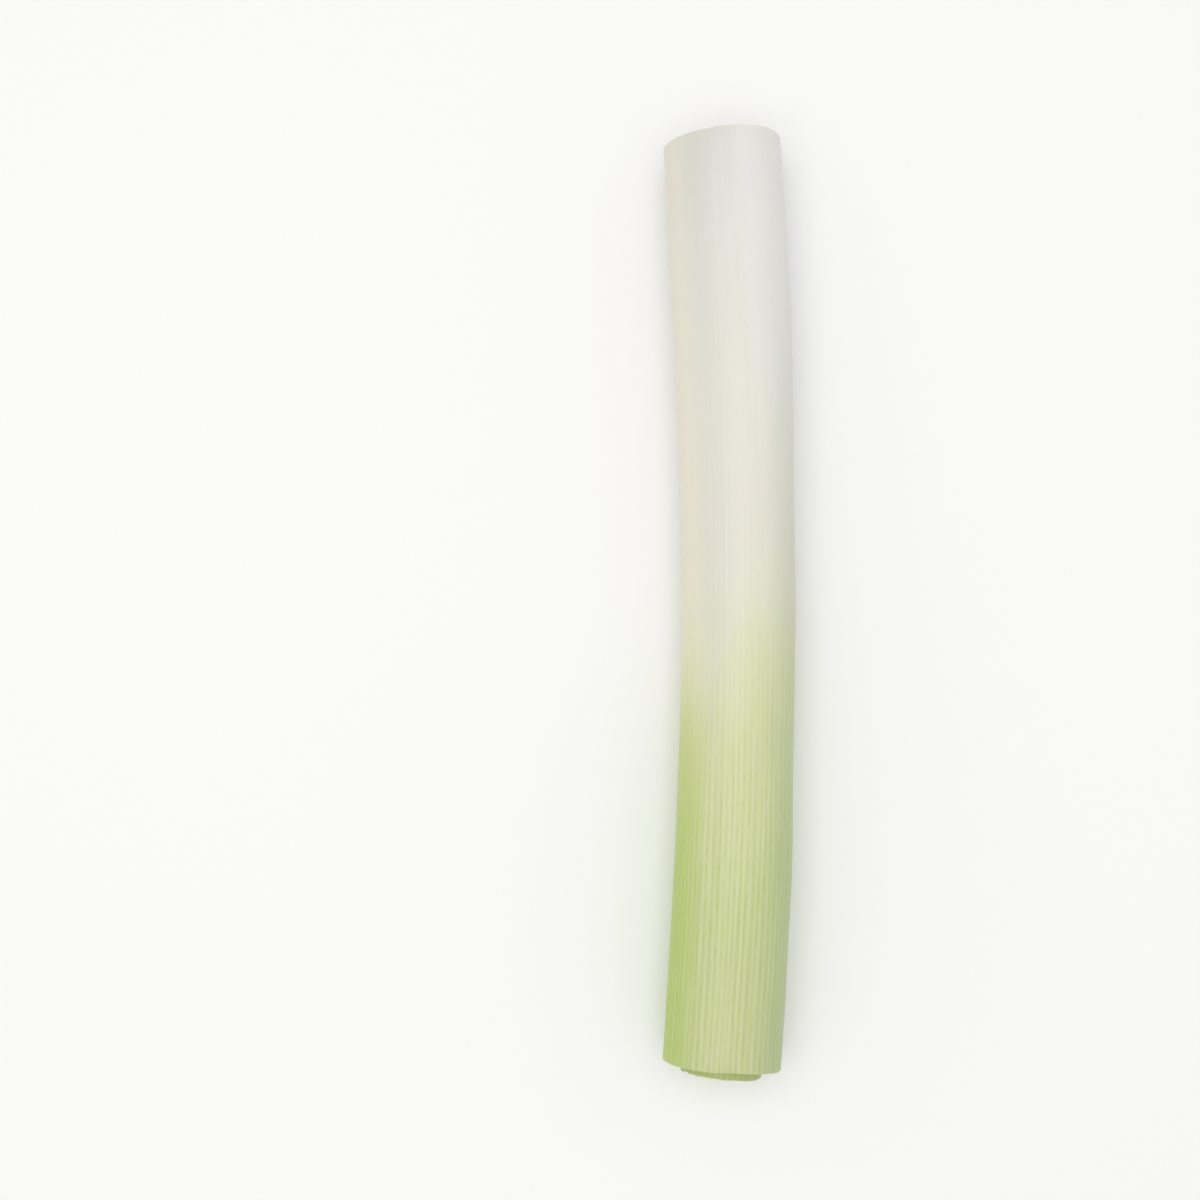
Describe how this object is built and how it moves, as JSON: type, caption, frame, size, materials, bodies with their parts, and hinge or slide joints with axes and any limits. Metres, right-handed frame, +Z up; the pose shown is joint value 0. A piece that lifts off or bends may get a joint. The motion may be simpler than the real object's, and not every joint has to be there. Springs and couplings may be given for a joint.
{
  "type": "leek",
  "caption": "Leek trimmed at both ends: a long, slightly bowed white to green shaft of nested leaf sheaths on a stem plate.",
  "frame": {"origin": "middle of the bounding box, on the surface that the leek lies on", "axes": "+Z up from that surface, +Y along the leek towards the root end, +X towards the outer side of its bow"},
  "size_m": [0.0336, 0.2384, 0.0287],
  "materials": {
    "outer_leaf": "satin",
    "inner_leaf": "satin",
    "heart": "satin",
    "stem": "matte"
  },
  "bodies": {
    "root": {"outer_sheath": "outer_leaf", "second_sheath": "inner_leaf", "third_sheath": "inner_leaf", "fourth_sheath": "inner_leaf", "fifth_sheath": "inner_leaf", "folded_leaf": "heart", "bud": "heart", "stem_plate": "stem"}
  },
  "joints": []
}
